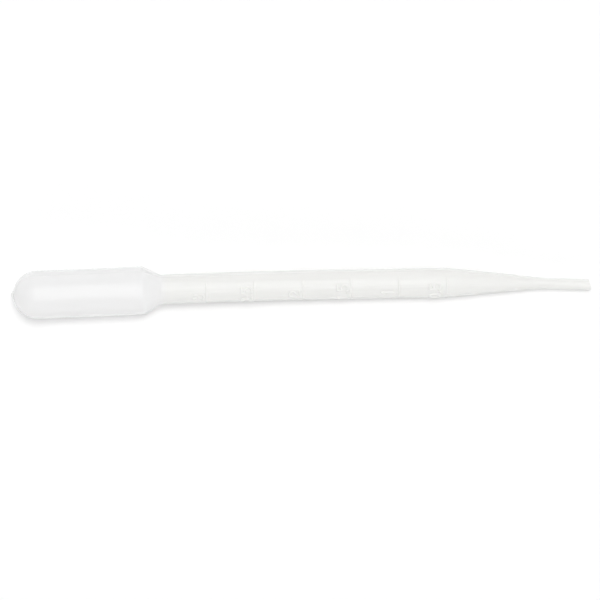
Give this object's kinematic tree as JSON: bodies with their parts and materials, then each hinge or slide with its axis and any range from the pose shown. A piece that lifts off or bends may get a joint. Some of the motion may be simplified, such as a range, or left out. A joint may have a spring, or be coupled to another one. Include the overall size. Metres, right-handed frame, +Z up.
{
  "type": "transfer pipette",
  "caption": "One-piece plastic dropper pipette with a squeeze bulb, a graduated stem and a drawn tip, lying on its side.",
  "frame": {"origin": "on the surface that the pipette lies on, below the middle of its whole length and width", "axes": "+X along the stem from the bulb to the tip, +Y to the side that the slight bow faces, +Z up from the surface it lies on"},
  "size_m": [0.1547, 0.0132, 0.0135],
  "materials": {
    "milky_plastic": "natural translucent low-density polyethylene, as moulded, satin"
  },
  "bodies": {
    "root": {"pipette": "milky_plastic"}
  },
  "joints": []
}
